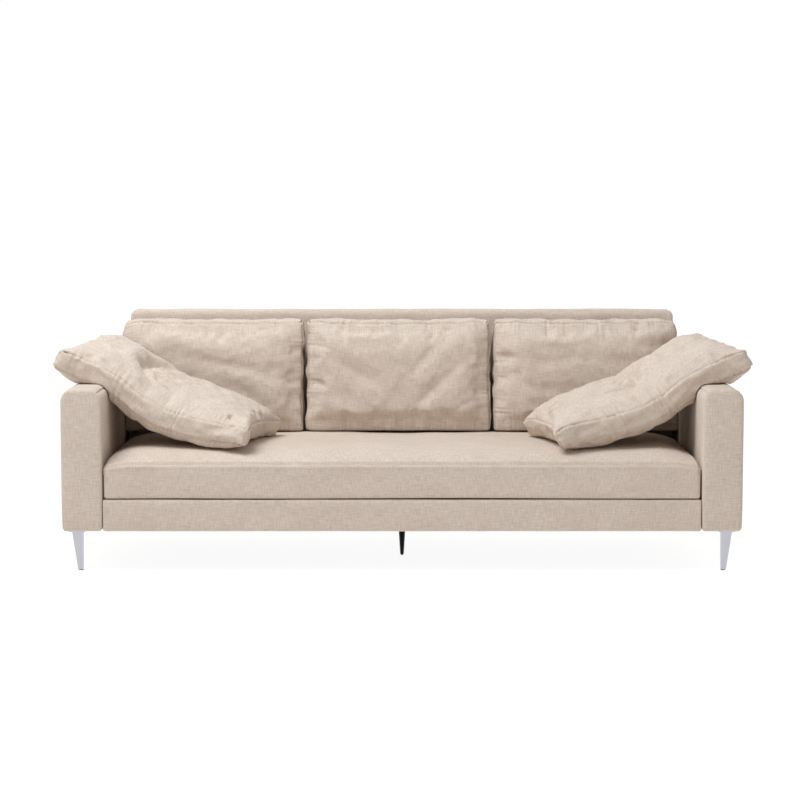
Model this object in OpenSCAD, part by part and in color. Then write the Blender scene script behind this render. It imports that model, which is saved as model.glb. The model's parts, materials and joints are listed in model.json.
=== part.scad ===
// Three-seat sofa: timber frame under fabric covers, one bench seat cushion,
// three loose back cushions, two arm pillows and slim angle-section metal legs.
// +X is to the right as seen from the front, -Y is the front and +Z is up.
// The origin is on the floor, at the centre of the sofa's footprint.

/* [Overall] */
// Width over both arms
overall_w = 2300; // [1800:10:2800]
// Depth from the fronts of the arms to the rear of the back
overall_d = 940; // [860:10:1140]
// Height of the upholstered base above the floor
leg_h = 137; // [110:1:170]
// Height of the front rail's panel
rail_h = 108; // [88:1:135]
// How far the front rail's panel stands behind the fronts of the arms
rail_recess = 3; // [1:1:12]

/* [Arms] */
// Width of one arm
arm_w = 138; // [126:1:180]
// Height of the arm tops above the floor
arm_h = 620; // [560:5:680]
// Radius of an arm's two upper edges
arm_top_r = 40; // [10:1:46]
// Radius of an arm's two lower edges
arm_foot_r = 12; // [4:1:20]

/* [Back] */
// Height of the back above the floor
back_h = 840; // [760:5:940]
// Thickness of the back at its top
back_top_t = 88; // [84:1:130]
// Lean of the back's front face from upright, in degrees
back_rake = 7; // [3:0.5:11]
// Radius of the back's two upper edges
back_top_r = 26; // [8:1:34]

/* [Seat cushion] */
// Thickness of the seat cushion
seat_t = 156; // [120:1:190]
// Radius of the seat cushion's edges
seat_edge_r = 32; // [22:1:44]
// Thickness of the fibre wrap round the seat cushion's foam
seat_wrap_t = 14; // [6:1:16]

/* [Back cushions] */
// Height of a back cushion
back_cushion_h = 410; // [340:5:480]
// Thickness of a back cushion
back_cushion_t = 194; // [150:1:230]
// Radius of a back cushion's edges
back_cushion_r = 52; // [20:1:70]

/* [Arm pillows] */
// Length of an arm pillow, from its end on the seat to its end over the arm
pillow_len = 662; // [560:2:700]
// Width of an arm pillow, front to rear
pillow_w = 438; // [360:2:480]
// Thickness of an arm pillow
pillow_t = 128; // [100:1:150]
// Radius of an arm pillow's edges
pillow_r = 44; // [20:1:48]
// Slope of an arm pillow down towards the seat, in degrees
pillow_tilt = 26.5; // [22:0.5:32]
// Turn of an arm pillow, its outer end towards the rear, in degrees
pillow_turn = 10; // [0:1:14]

/* [Legs] */
// Width of a corner leg's fins where they meet the plate
leg_top_w = 36; // [28:1:44]
// Width of a corner leg's fins at the floor
leg_foot_w = 17; // [14:1:26]
// Thickness of a corner leg's fins
leg_t = 5; // [3:0.5:8]
// Distance from an arm's outer face to a corner leg's inner face
leg_inset = 66; // [60:1:82]
// Distance from the arms' fronts to the corner legs' front faces
leg_setback = 34; // [24:1:60]
// Side of a corner leg's square plate
leg_plate_w = 60; // [54:1:70]
// Width of the centre leg's fins where they meet the plate
centre_leg_top_w = 20; // [16:1:30]
// Width of the centre leg's fins at the floor
centre_leg_foot_w = 9; // [8:0.5:14]
// Thickness of the centre leg's fins
centre_leg_t = 4; // [3:0.5:6]
// Distance from the arms' fronts to the centre leg
centre_leg_setback = 340; // [300:5:420]
// Side of the centre leg's square plate
centre_plate_w = 50; // [44:1:58]
// Thickness of the leg plates
leg_plate_t = 3; // [2:0.5:5]
// Thickness of the nylon glides under the legs
glide_t = 2.5; // [1.5:0.5:5]

/* [Cloth and padding] */
// Thickness of the cover fabric with its lining
cover_t = 2; // [1.5:0.25:3]
// Thickness of the foam skin on the frame
pad_t = 14; // [8:1:16]
// Thickness of the deck cloth over the springs
deck_t = 1.5; // [1:0.25:2.5]
// Thickness of the dust cover under the base
dust_t = 1; // [0.5:0.25:1.5]
// Space left between one layer and the next
layer_gap = 0.5; // [0.2:0.1:1]
// Space between a loose cushion and what is next to it
cushion_gap = 3; // [2:0.5:6]

/* [Frame timber] */
// Depth of the base's front and rear rails
rail_t = 45; // [38:1:60]
// Thickness of the base's side rails
side_rail_t = 25; // [20:1:35]
// How far the front rail's cloth and padding reach over the rail
rail_wing = 20; // [12:1:24]
// Width of the centre rail
centre_rail_w = 64; // [60:1:80]
// Height of the centre rail
centre_rail_h = 58; // [45:1:62]
// Leg length of the triangular corner blocks
block_w = 80; // [50:1:110]
// Height of the corner blocks
block_h = 55; // [35:1:62]
// Thickness of the fibreboard on both sides of an arm's frame
panel_t = 6; // [3:1:9]
// Width of the arm posts, front to rear
arm_post_w = 62; // [58:1:80]
// Height of the arms' bottom rails
arm_bottom_rail_h = 72; // [60:1:90]
// Height of the arms' top rails
arm_top_rail_h = 42; // [30:1:60]
// Width of the back's posts
back_post_w = 48; // [40:1:70]
// Depth of the back's posts and rails
back_post_d = 44; // [38:1:46]
// Number of posts in the back
back_posts_n = 4; // [3:1:6]
// Height of the back's top and bottom rails
back_rail_h = 60; // [45:1:80]

/* [Springs and webbing] */
// Number of sinuous springs
springs_n = 9; // [6:1:12]
// Side of the springs' square wire
wire_w = 3.8; // [3:0.2:4.4]
// Length of the straight bars of a spring
spring_bar = 16; // [10:1:30]
// Distance from one bar of a spring to the next, before it is fitted to the span
spring_pitch = 46; // [36:1:60]
// Number of webbing straps in the back
straps_n = 10; // [6:1:14]
// Width of a webbing strap
strap_w = 50; // [40:5:70]
// Thickness of a webbing strap
strap_t = 1.6; // [1:0.2:2.4]

/* [Fasteners] */
// Diameter of the bolts that hold the arms
bolt_d = 8; // [6:1:10]
// Number of bolts from the base into each arm
base_bolts_n = 3; // [2:1:4]
// Number of bolts from the back into each arm
back_bolts_n = 2; // [2:1:3]
// Outer diameter of the threaded inserts in the arms
insert_d = 12; // [11:1:15]
// Length of the threaded inserts
insert_l = 18; // [12:1:24]
// Shank diameter of the leg screws
screw_d = 4.5; // [4:0.5:5.5]
// Length of the leg screws under the head
screw_l = 34; // [24:1:38]

/* [Zips] */
// Width of a zip's tape
zip_w = 24; // [18:1:30]
// Width of a zip's closed teeth
zip_teeth_w = 5; // [4:0.5:7]
// Distance from the ends of a zip to the ends of its cushion
zip_end = 70; // [60:5:120]

/* [Hidden] */
$fn = 48;

// Colours
linen = [0.76, 0.70, 0.64];
lining = [0.12, 0.12, 0.12];
foam = [0.93, 0.88, 0.70];
fibre = [0.95, 0.95, 0.93];
timber = [0.78, 0.62, 0.42];
board = [0.55, 0.40, 0.26];
steel = [0.55, 0.56, 0.58];
satin_metal = [0.78, 0.78, 0.81];
black_metal = [0.05, 0.05, 0.05];
nylon = [0.10, 0.10, 0.10];

// Directions from a soft corner's centre to the points that its rounding runs through
soft_ways = [
    [1, 0, 0], [0, 1, 0], [0, 0, 1],
    [1, 1, 0] / sqrt(2), [1, 0, 1] / sqrt(2), [0, 1, 1] / sqrt(2),
    [1, 1, 1] / sqrt(3)
];
// Smallest radius of an inset edge
edge_min_r = 1;
// Extra length of a cutting shape past the face it cuts
cut = 1;
// Radial space between a screw or bolt and its hole
shank_gap = 0.1;
// Radial space between a screw or bolt and what it only passes through
pass_gap = 0.5;

// Planes of the whole sofa
front_y = -overall_d / 2;
rear_y = overall_d / 2;
arm_out_x = -overall_w / 2;
arm_in_x = arm_out_x + arm_w;
// Half of the space between the arms, less the gap to each of them
bay_x = -arm_in_x - layer_gap;
rail_top = leg_h + rail_h;
// Cover, padding and the gaps inside each of them
pad_inset = cover_t + layer_gap;
skin_t = pad_inset + pad_t + layer_gap;
timber_z = leg_h + cover_t;

// Front face of the back at height z
function back_face_y(z) = rear_y - back_top_t - (back_h - z) * tan(back_rake);

// Base
rail_front_y = front_y + rail_recess;
front_timber_y = rail_front_y + skin_t;
deck_front_y = front_timber_y + rail_wing;
well_front_y = front_timber_y + rail_t;
base_rear_y = back_face_y(leg_h) - layer_gap;
well_rear_y = base_rear_y - rail_t;
clip_w = 18;
clip_d = 11;
clip_h = 6;
spring_z = rail_top - deck_t - layer_gap - clip_h / 2;
timber_top = spring_z - clip_h / 2;

// Springs
spring_front_y = deck_front_y + layer_gap + clip_d / 2 + 4;
spring_rear_y = base_rear_y - rail_t + clip_d / 2 + 6;
spring_bars_n = round((spring_rear_y - spring_front_y) / spring_pitch) + 1;
spring_step = (spring_rear_y - spring_front_y) / (spring_bars_n - 1);
spring_spacing = 2 * bay_x / (springs_n + 0.5);

// Arms
arm_core_x0 = arm_out_x + skin_t + panel_t;
arm_core_x1 = arm_in_x - skin_t - panel_t;
arm_frame_y0 = front_y + skin_t;
arm_frame_y1 = rear_y - skin_t;
arm_frame_z1 = arm_h - skin_t;

// Back
back_frame_y1 = rear_y - skin_t;
back_frame_y0 = back_frame_y1 - back_post_d;
back_frame_z1 = back_h - skin_t;
back_frame_x = bay_x - skin_t;

// Bolts: Y, Z and the X of the face under the head, on the right-hand side
bolt_r = bolt_d / 2;
bolt_head_r = 0.8 * bolt_d;
bolt_head_t = 0.65 * bolt_d;
bolt_z = timber_z + arm_bottom_rail_h / 2;
bolt_end_margin = 110;
bolt_tip_x = -arm_core_x1 + insert_l;
base_bolts = [
    for (i = [0 : base_bolts_n - 1])
        [
            well_front_y + bolt_end_margin
                + i * (well_rear_y - well_front_y - 2 * bolt_end_margin) / (base_bolts_n - 1),
            bolt_z,
            bay_x - side_rail_t
        ]
];
back_bolts = [
    for (i = [1 : back_bolts_n])
        [
            (back_frame_y0 + back_frame_y1) / 2,
            rail_top + i * (arm_h - rail_top) / (back_bolts_n + 1),
            back_frame_x - back_post_w
        ]
];
bolts = concat(base_bolts, back_bolts);

// Legs
apex_x = arm_out_x + leg_inset;
apex_y = front_y + leg_setback;
centre_leg_y = front_y + centre_leg_setback;
centre_plate_top = timber_z - dust_t;
foot_r = 3;
screw_r = screw_d / 2;
screw_head_r = 0.95 * screw_d;
screw_head_t = 0.55 * screw_d;
screw_margin = 8;

// Loose cushions
seat_bottom = rail_top + cushion_gap;
seat_top = seat_bottom + seat_t;
seat_front_y = front_y + cushion_gap;
seat_rear_y = back_face_y(seat_bottom) - cushion_gap;
bench_x = -arm_in_x - cushion_gap;
back_cushion_w = (2 * bench_x - 2 * cushion_gap) / 3;
back_cushion_bottom = seat_top + cushion_gap;
back_cushion_top = back_cushion_bottom + back_cushion_h;

// Y of the back cushions' rear and front faces at height z
function back_cushion_rear_y(z) = back_face_y(z) - cushion_gap / cos(back_rake);
function back_cushion_front_y(z) = back_cushion_rear_y(z) - back_cushion_t / cos(back_rake);

// An arm pillow's lower front corner at its inner end, before the edges are rounded. Its lowest
// point is just above the seat, its underside just above the arm's rounded inner edge, and its
// rear end just in front of the back cushions.
pillow_z = seat_top + cushion_gap - pillow_r * (sin(pillow_tilt) + cos(pillow_tilt) - 1);
arm_edge_x = arm_in_x - arm_top_r;
arm_edge_z = arm_h - arm_top_r;
pillow_reach = (arm_top_r + cushion_gap + cos(pillow_tilt) * (arm_edge_z - pillow_z)) / sin(pillow_tilt);
pillow_x = arm_edge_x + cos(pillow_turn) * pillow_reach;
pillow_outer_z = pillow_z + pillow_len * sin(pillow_tilt);
pillow_back_gap = 10;
pillow_y = back_cushion_front_y(pillow_outer_z) - pillow_back_gap
    - pillow_w * cos(pillow_turn) - pillow_len * cos(pillow_tilt) * sin(pillow_turn);

// ---- Shared shapes ----

// Box between its lowest and its highest corner
module slab(low, high) {
    translate(low) cube(high - low);
}

// A left-hand piece and its mirror image on the right
module on_right() {
    mirror([1, 0, 0]) children();
}

module both_sides() {
    children();
    on_right() children();
}

// Outline in X and Z, carried from y0 to y1
module along_y(y0, y1) {
    translate([0, y1, 0]) rotate([90, 0, 0]) linear_extrude(height = y1 - y0) children();
}

// Outline in Y and Z, carried from x0 to x1
module along_x(x0, x1) {
    translate([x0, 0, 0]) rotate([90, 0, 90]) linear_extrude(height = x1 - x0) children();
}

// Corners in Y and Z of a soft block's section, where its edges are cut back in the given way.
// The front and rear faces lean back by lean degrees, and low.y and high.y are at the bottom.
function soft_quad(low, high, r, inset, lean, way) =
    let (
        ball = r - inset,
        out_y = ball * way.y * cos(lean),
        fall = ball * way.y * sin(lean),
        out_z = ball * way.z,
        z0 = low.z + r,
        z1 = high.z - r,
        shift0 = r * tan(lean),
        shift1 = (z1 - low.z) * tan(lean),
        front = low.y + r / cos(lean) - out_y,
        rear = high.y - r / cos(lean) + out_y
    ) [
        [front + shift0, z0 - out_z + fall],
        [rear + shift0, z0 - out_z - fall],
        [rear + shift1, z1 + out_z - fall],
        [front + shift1, z1 + out_z + fall]
    ];

// Section of a soft block in Y and Z
module soft_outline(low, high, r, inset, lean = 0) {
    hull() {
        for (way = soft_ways) polygon(soft_quad(low, high, r, inset, lean, way));
    }
}

// Block with softened edges of radius r, made smaller all round by inset
module soft_block(low, high, r, inset, lean = 0) {
    hull() {
        for (way = soft_ways) {
            cut_x = r - (r - inset) * way.x;
            along_x(low.x + cut_x, high.x - cut_x) polygon(soft_quad(low, high, r, inset, lean, way));
        }
    }
}

// Closed zip in a cover's wall: the wall's outer face is z = 0 and its inside is +z
module zip(length) {
    side_gap = 0.2;
    tape_inset = 0.4;
    slider_l = 10;
    slider_w = 8;
    slider_out = 1.2;
    pull_l = 16;
    pull_w = 5;
    half = length / 2 - side_gap;
    union() {
        slab([-half, -zip_w / 2 + side_gap, tape_inset], [half, zip_w / 2 - side_gap, cover_t - tape_inset]);
        slab([-half, -zip_teeth_w / 2, 0], [half, zip_teeth_w / 2, cover_t]);
        slab([half - slider_l - 2, -slider_w / 2, -slider_out], [half - 2, slider_w / 2, cover_t]);
        slab(
            [half - slider_l - pull_l, -pull_w / 2, -slider_out],
            [half - slider_l, pull_w / 2, 0]
        );
    }
}

// Opening in a cover for a zip of the same length
module zip_slot(length) {
    slab([-length / 2, -zip_w / 2, -cut], [length / 2, zip_w / 2, cover_t + cut]);
}

// ---- Fastener positions ----

// Rods along X at every arm bolt on the left: out from the head's face to the insert's end
module bolt_rods(r) {
    for (b = bolts) {
        translate([-b[2] + cut, b[0], b[1]]) rotate([0, -90, 0]) cylinder(r = r, h = bolt_tip_x - b[2] + cut);
    }
}

// Rods at every insert on the left
module insert_rods(r, extra) {
    for (b = bolts) {
        translate([arm_core_x1 + extra, b[0], b[1]]) rotate([0, -90, 0]) cylinder(r = r, h = insert_l + extra);
    }
}

// Puts a left front corner piece at the apex of each corner leg's angle
module at_corner_legs() {
    for (side = [0, 1], end = [0, 1]) {
        mirror([side, 0, 0]) mirror([0, end, 0]) translate([apex_x, apex_y, 0]) children();
    }
}

// Four places near the corners of a plate of side w centred on the origin
module at_plate_screws(w) {
    reach = w / 2 - screw_margin;
    for (x = [-reach, reach], y = [-reach, reach]) {
        translate([x, y, 0]) children();
    }
}

// Upright rods for every leg screw, from z0 up past the tips
module leg_screw_rods(r, z0) {
    at_corner_legs() translate([-leg_top_w / 2, leg_top_w / 2, z0]) at_plate_screws(leg_plate_w)
        cylinder(r = r, h = screw_l + leg_plate_t);
    translate([0, centre_leg_y, z0]) at_plate_screws(centre_plate_w)
        cylinder(r = r, h = screw_l + leg_plate_t);
}

// ---- Base ----

module front_rail() {
    color(timber) slab(
        [-bay_x + pad_inset, front_timber_y, timber_z],
        [bay_x - pad_inset, well_front_y, timber_top]
    );
}

module rear_rail() {
    color(timber) slab([-bay_x, well_rear_y, timber_z], [bay_x, base_rear_y, timber_top]);
}

module side_rail_left() {
    color(timber) difference() {
        slab([-bay_x, well_front_y, timber_z], [-bay_x + side_rail_t, well_rear_y, rail_top - deck_t]);
        bolt_rods(bolt_r + pass_gap);
    }
}

module side_rail_right() {
    on_right() side_rail_left();
}

module centre_rail() {
    color(timber) difference() {
        slab(
            [-centre_rail_w / 2, well_front_y, timber_z],
            [centre_rail_w / 2, well_rear_y, timber_z + centre_rail_h]
        );
        leg_screw_rods(screw_r + shank_gap, centre_plate_top - leg_plate_t);
    }
}

module corner_blocks() {
    corner_x = -bay_x + side_rail_t;
    color(timber) both_sides() {
        for (corner = [[well_front_y, 1], [well_rear_y, -1]]) {
            translate([corner_x, corner[0], timber_z]) linear_extrude(height = block_h)
                polygon([[0, 0], [block_w, 0], [0, corner[1] * block_w]]);
        }
    }
}

// One spring, its first bar's middle at the origin: bars across X joined by half rings
module sinuous_spring() {
    ring_r = spring_step / 2;
    translate([0, 0, -wire_w / 2]) linear_extrude(height = wire_w) union() {
        for (i = [0 : spring_bars_n - 1]) {
            translate([-spring_bar / 2, i * spring_step - wire_w / 2]) square([spring_bar, wire_w]);
        }
        for (i = [0 : spring_bars_n - 2]) {
            turn = i % 2 == 0 ? 1 : -1;
            translate([turn * spring_bar / 2, (i + 0.5) * spring_step]) difference() {
                circle(ring_r + wire_w / 2);
                circle(ring_r - wire_w / 2);
                translate([turn > 0 ? -2 * ring_r : 0, -2 * ring_r]) square([2 * ring_r, 4 * ring_r]);
            }
        }
    }
}

module at_springs() {
    for (i = [0 : springs_n - 1]) {
        translate([(i - (springs_n - 1) / 2) * spring_spacing, spring_front_y, spring_z]) children();
    }
}

module seat_springs() {
    color(steel) at_springs() sinuous_spring();
}

module spring_clips() {
    grip_w = min(clip_w, spring_bar - 2);
    color(steel) at_springs() {
        for (y = [0, spring_rear_y - spring_front_y]) {
            translate([0, y, 0]) difference() {
                translate([-grip_w / 2, -clip_d / 2, -clip_h / 2]) cube([grip_w, clip_d, clip_h]);
                cube([2 * grip_w, wire_w + 2 * shank_gap, wire_w + 2 * shank_gap], center = true);
            }
        }
    }
}

module deck_cloth() {
    color(lining) slab([-bay_x, deck_front_y + layer_gap, rail_top - deck_t], [bay_x, base_rear_y, rail_top]);
}

module front_rail_padding() {
    x = bay_x - pad_inset;
    y0 = rail_front_y + pad_inset;
    color(foam) union() {
        slab([-x, y0, timber_z + layer_gap], [x, front_timber_y - layer_gap, rail_top - pad_inset]);
        slab([-x, y0, timber_top + layer_gap], [x, deck_front_y, rail_top - pad_inset]);
    }
}

module front_rail_cover() {
    color(linen) difference() {
        slab([-bay_x, rail_front_y, leg_h], [bay_x, deck_front_y, rail_top]);
        slab(
            [-bay_x + cover_t, rail_front_y + cover_t, timber_z],
            [bay_x - cover_t, deck_front_y + cut, rail_top - cover_t]
        );
    }
}

module dust_cover() {
    color(lining) difference() {
        slab([-bay_x, deck_front_y + layer_gap, timber_z - dust_t], [bay_x, base_rear_y, timber_z]);
        translate([0, centre_leg_y, timber_z - dust_t - cut]) at_plate_screws(centre_plate_w)
            cylinder(r = screw_r + pass_gap, h = 2 * cut + dust_t);
    }
}

// ---- Arms ----

// Outline of an arm in X and Z, made smaller all round by inset
module arm_outline(inset) {
    top_r = max(arm_top_r - inset, edge_min_r);
    low_r = max(arm_foot_r - inset, edge_min_r);
    hull() {
        for (side = [[arm_out_x + inset, 1], [arm_in_x - inset, -1]]) {
            translate([side[0] + side[1] * top_r, arm_h - inset - top_r]) circle(top_r);
            translate([side[0] + side[1] * low_r, leg_h + inset + low_r]) circle(low_r);
        }
    }
}

module arm_post(y0) {
    color(timber) difference() {
        slab(
            [arm_core_x0, y0, timber_z + arm_bottom_rail_h],
            [arm_core_x1, y0 + arm_post_w, arm_frame_z1 - arm_top_rail_h]
        );
        bolt_rods(bolt_r + pass_gap);
        insert_rods(insert_d / 2, cut);
    }
}

module arm_front_post_left() {
    arm_post(arm_frame_y0);
}

module arm_rear_post_left() {
    arm_post(arm_frame_y1 - arm_post_w);
}

module arm_top_rail_left() {
    color(timber) slab(
        [arm_core_x0, arm_frame_y0, arm_frame_z1 - arm_top_rail_h],
        [arm_core_x1, arm_frame_y1, arm_frame_z1]
    );
}

module arm_bottom_rail_left() {
    color(timber) difference() {
        slab([arm_core_x0, arm_frame_y0, timber_z], [arm_core_x1, arm_frame_y1, timber_z + arm_bottom_rail_h]);
        insert_rods(insert_d / 2, cut);
        leg_screw_rods(screw_r + shank_gap, leg_h - leg_plate_t);
    }
}

module arm_panels_left() {
    color(board) difference() {
        union() {
            slab([arm_core_x0 - panel_t, arm_frame_y0, timber_z], [arm_core_x0, arm_frame_y1, arm_frame_z1]);
            slab([arm_core_x1, arm_frame_y0, timber_z], [arm_core_x1 + panel_t, arm_frame_y1, arm_frame_z1]);
        }
        bolt_rods(bolt_r + pass_gap);
    }
}

module arm_padding_left() {
    color(foam) difference() {
        along_y(front_y + pad_inset, rear_y - pad_inset) arm_outline(pad_inset);
        slab(
            [arm_out_x + skin_t - layer_gap, front_y + skin_t - layer_gap, leg_h],
            [arm_in_x - skin_t + layer_gap, rear_y - skin_t + layer_gap, arm_frame_z1 + layer_gap]
        );
        bolt_rods(bolt_r + pass_gap);
    }
}

module arm_cover_left() {
    color(linen) difference() {
        along_y(front_y, rear_y) arm_outline(0);
        along_y(front_y + cover_t, rear_y - cover_t) arm_outline(cover_t);
        bolt_rods(bolt_r + pass_gap);
        leg_screw_rods(screw_r + pass_gap, leg_h - leg_plate_t);
    }
}

module arm_front_post_right() {
    on_right() arm_front_post_left();
}

module arm_rear_post_right() {
    on_right() arm_rear_post_left();
}

module arm_top_rail_right() {
    on_right() arm_top_rail_left();
}

module arm_bottom_rail_right() {
    on_right() arm_bottom_rail_left();
}

module arm_panels_right() {
    on_right() arm_panels_left();
}

module arm_padding_right() {
    on_right() arm_padding_left();
}

module arm_cover_right() {
    on_right() arm_cover_left();
}

// ---- Back ----

// Outline of the back in Y and Z, made smaller all round by inset
module back_outline(inset) {
    low_r = edge_min_r;
    top_r = max(back_top_r - inset, edge_min_r);
    low_z = leg_h + inset + low_r;
    top_z = back_h - inset - top_r;
    face_shift = inset / cos(back_rake);
    hull() {
        translate([rear_y - inset - low_r, low_z]) circle(low_r);
        translate([rear_y - inset - top_r, top_z]) circle(top_r);
        translate([back_face_y(low_z) + face_shift + low_r / cos(back_rake), low_z]) circle(low_r);
        translate([back_face_y(top_z) + face_shift + top_r / cos(back_rake), top_z]) circle(top_r);
    }
}

module back_posts() {
    span = 2 * back_frame_x - back_post_w;
    color(timber) difference() {
        union() {
            for (i = [0 : back_posts_n - 1]) {
                translate([-back_frame_x + i * span / (back_posts_n - 1), back_frame_y0, timber_z + back_rail_h])
                    cube([back_post_w, back_post_d, back_frame_z1 - timber_z - 2 * back_rail_h]);
            }
        }
        both_sides() bolt_rods(bolt_r + pass_gap);
    }
}

module back_top_rail() {
    color(timber) slab(
        [-back_frame_x, back_frame_y0, back_frame_z1 - back_rail_h],
        [back_frame_x, back_frame_y1, back_frame_z1]
    );
}

module back_bottom_rail() {
    color(timber) slab(
        [-back_frame_x, back_frame_y0, timber_z],
        [back_frame_x, back_frame_y1, timber_z + back_rail_h]
    );
}

module back_webbing() {
    spacing = 2 * back_frame_x / straps_n;
    color(lining) for (i = [0 : straps_n - 1]) {
        translate([-back_frame_x + (i + 0.5) * spacing - strap_w / 2, back_frame_y0 - strap_t, timber_z])
            cube([strap_w, strap_t, back_frame_z1 - timber_z]);
    }
}

module back_padding() {
    color(foam) difference() {
        along_x(-bay_x + pad_inset, bay_x - pad_inset) back_outline(pad_inset);
        slab(
            [-back_frame_x - layer_gap, back_frame_y0 - strap_t - layer_gap, leg_h],
            [back_frame_x + layer_gap, back_frame_y1 + layer_gap, back_frame_z1 + layer_gap]
        );
        both_sides() bolt_rods(bolt_r + pass_gap);
    }
}

module back_cover() {
    color(linen) difference() {
        along_x(-bay_x, bay_x) back_outline(0);
        along_x(-bay_x + cover_t, bay_x - cover_t) back_outline(cover_t);
        both_sides() bolt_rods(bolt_r + pass_gap);
    }
}

// ---- Fasteners ----

module arm_bolts() {
    color(steel) both_sides() {
        for (b = bolts) {
            translate([-b[2], b[0], b[1]]) rotate([0, -90, 0]) union() {
                cylinder(r = bolt_r, h = bolt_tip_x - b[2] - layer_gap);
                translate([0, 0, -bolt_head_t]) cylinder(r = bolt_head_r, h = bolt_head_t, $fn = 6);
            }
        }
    }
}

module arm_inserts() {
    color(steel) both_sides() difference() {
        insert_rods(insert_d / 2, 0);
        bolt_rods(bolt_r + shank_gap);
    }
}

module leg_screws() {
    color(steel) {
        at_corner_legs() translate([-leg_top_w / 2, leg_top_w / 2, leg_h - leg_plate_t])
            at_plate_screws(leg_plate_w) leg_screw();
        translate([0, centre_leg_y, centre_plate_top - leg_plate_t])
            at_plate_screws(centre_plate_w) leg_screw();
    }
}

module leg_screw() {
    union() {
        translate([0, 0, -screw_head_t]) cylinder(r = screw_head_r, h = screw_head_t);
        cylinder(r = screw_r, h = screw_l);
    }
}

// ---- Legs ----

// One fin's outline: straight along the leg's corner, tapered on the other side, rounded foot
module fin_outline(top_w, foot_w, top_z) {
    hull() {
        translate([0, top_z - cut]) square([top_w, cut]);
        for (x = [foot_r, foot_w - foot_r]) {
            translate([x, glide_t + foot_r]) circle(foot_r);
        }
    }
}

// Two fins at a right angle, the corner at the origin, one towards -X and one towards +Y
module angle_fins(top_w, foot_w, t, top_z) {
    union() {
        along_y(0, t) mirror([1, 0]) fin_outline(top_w, foot_w, top_z);
        along_x(-t, 0) fin_outline(top_w, foot_w, top_z);
    }
}

module leg_plate(w, top_z) {
    difference() {
        translate([-w / 2, -w / 2, top_z - leg_plate_t]) cube([w, w, leg_plate_t]);
        at_plate_screws(w) translate([0, 0, top_z - leg_plate_t - cut])
            cylinder(r = screw_r + pass_gap, h = leg_plate_t + 2 * cut);
    }
}

// Left front leg with its corner at the origin
module corner_leg() {
    color(satin_metal) union() {
        angle_fins(leg_top_w, leg_foot_w, leg_t, leg_h - leg_plate_t);
        translate([-leg_top_w / 2, leg_top_w / 2, 0]) leg_plate(leg_plate_w, leg_h);
    }
}

module leg_front_left() {
    translate([apex_x, apex_y, 0]) corner_leg();
}

module leg_front_right() {
    on_right() leg_front_left();
}

module leg_rear_left() {
    mirror([0, 1, 0]) leg_front_left();
}

module leg_rear_right() {
    on_right() leg_rear_left();
}

// Turns the centre leg's angle so that it opens to the front, its fins each side of the middle
module at_centre_leg() {
    translate([0, centre_leg_y + centre_leg_top_w / 3, 0]) rotate([0, 0, 135]) children();
}

module leg_centre() {
    color(black_metal) union() {
        at_centre_leg()
            angle_fins(centre_leg_top_w, centre_leg_foot_w, centre_leg_t, centre_plate_top - leg_plate_t);
        translate([0, centre_leg_y, 0]) leg_plate(centre_plate_w, centre_plate_top);
    }
}

// Pad under the flat part of two fins' feet
module angle_glide(foot_w, t) {
    reach = foot_w - foot_r;
    union() {
        slab([-reach, 0, 0], [0, t, glide_t]);
        slab([-t, 0, 0], [0, reach, glide_t]);
    }
}

module leg_glides() {
    color(nylon) {
        at_corner_legs() angle_glide(leg_foot_w, leg_t);
        at_centre_leg() angle_glide(centre_leg_foot_w, centre_leg_t);
    }
}

// ---- Seat cushion ----

seat_low = [-bench_x, seat_front_y, seat_bottom];
seat_high = [bench_x, seat_rear_y, seat_top];
seat_zip_l = 2 * bench_x - 2 * zip_end;

module at_seat_zip() {
    translate([0, seat_rear_y, (seat_bottom + seat_top) / 2]) rotate([90, 0, 0]) children();
}

module seat_cushion_cover() {
    color(linen) difference() {
        soft_block(seat_low, seat_high, seat_edge_r, 0);
        soft_block(seat_low, seat_high, seat_edge_r, cover_t);
        at_seat_zip() zip_slot(seat_zip_l);
    }
}

// Fibre folded once round the foam, open at both ends
module seat_cushion_wrap() {
    color(fibre) along_x(-bench_x + seat_edge_r, bench_x - seat_edge_r) difference() {
        soft_outline(seat_low, seat_high, seat_edge_r, pad_inset);
        soft_outline(seat_low, seat_high, seat_edge_r, pad_inset + seat_wrap_t);
    }
}

module seat_cushion_foam() {
    color(foam) soft_block(seat_low, seat_high, seat_edge_r, pad_inset + seat_wrap_t + layer_gap);
}

module seat_cushion_zip() {
    color(lining) at_seat_zip() zip(seat_zip_l);
}

// ---- Back cushions, place -1 left, 0 middle and 1 right ----

back_zip_l = back_cushion_w - 2 * zip_end;

// A back cushion's body, made smaller all round by inset; its faces follow the back's lean
module back_cushion_body(place, inset) {
    middle_x = place * (back_cushion_w + cushion_gap);
    low = [middle_x - back_cushion_w / 2, back_cushion_front_y(back_cushion_bottom), back_cushion_bottom];
    high = [middle_x + back_cushion_w / 2, back_cushion_rear_y(back_cushion_bottom), back_cushion_top];
    soft_block(low, high, back_cushion_r, inset, back_rake);
}

module at_back_zip(place) {
    middle_y = (back_cushion_front_y(back_cushion_bottom) + back_cushion_rear_y(back_cushion_bottom)) / 2;
    translate([place * (back_cushion_w + cushion_gap), middle_y, back_cushion_bottom]) children();
}

module back_cushion_cover(place) {
    color(linen) difference() {
        back_cushion_body(place, 0);
        back_cushion_body(place, cover_t);
        at_back_zip(place) zip_slot(back_zip_l);
    }
}

module back_cushion_filling(place) {
    color(fibre) back_cushion_body(place, pad_inset);
}

module back_cushion_zip(place) {
    color(lining) at_back_zip(place) zip(back_zip_l);
}

module back_cushion_cover_left() {
    back_cushion_cover(-1);
}

module back_cushion_filling_left() {
    back_cushion_filling(-1);
}

module back_cushion_zip_left() {
    back_cushion_zip(-1);
}

module back_cushion_cover_middle() {
    back_cushion_cover(0);
}

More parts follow.
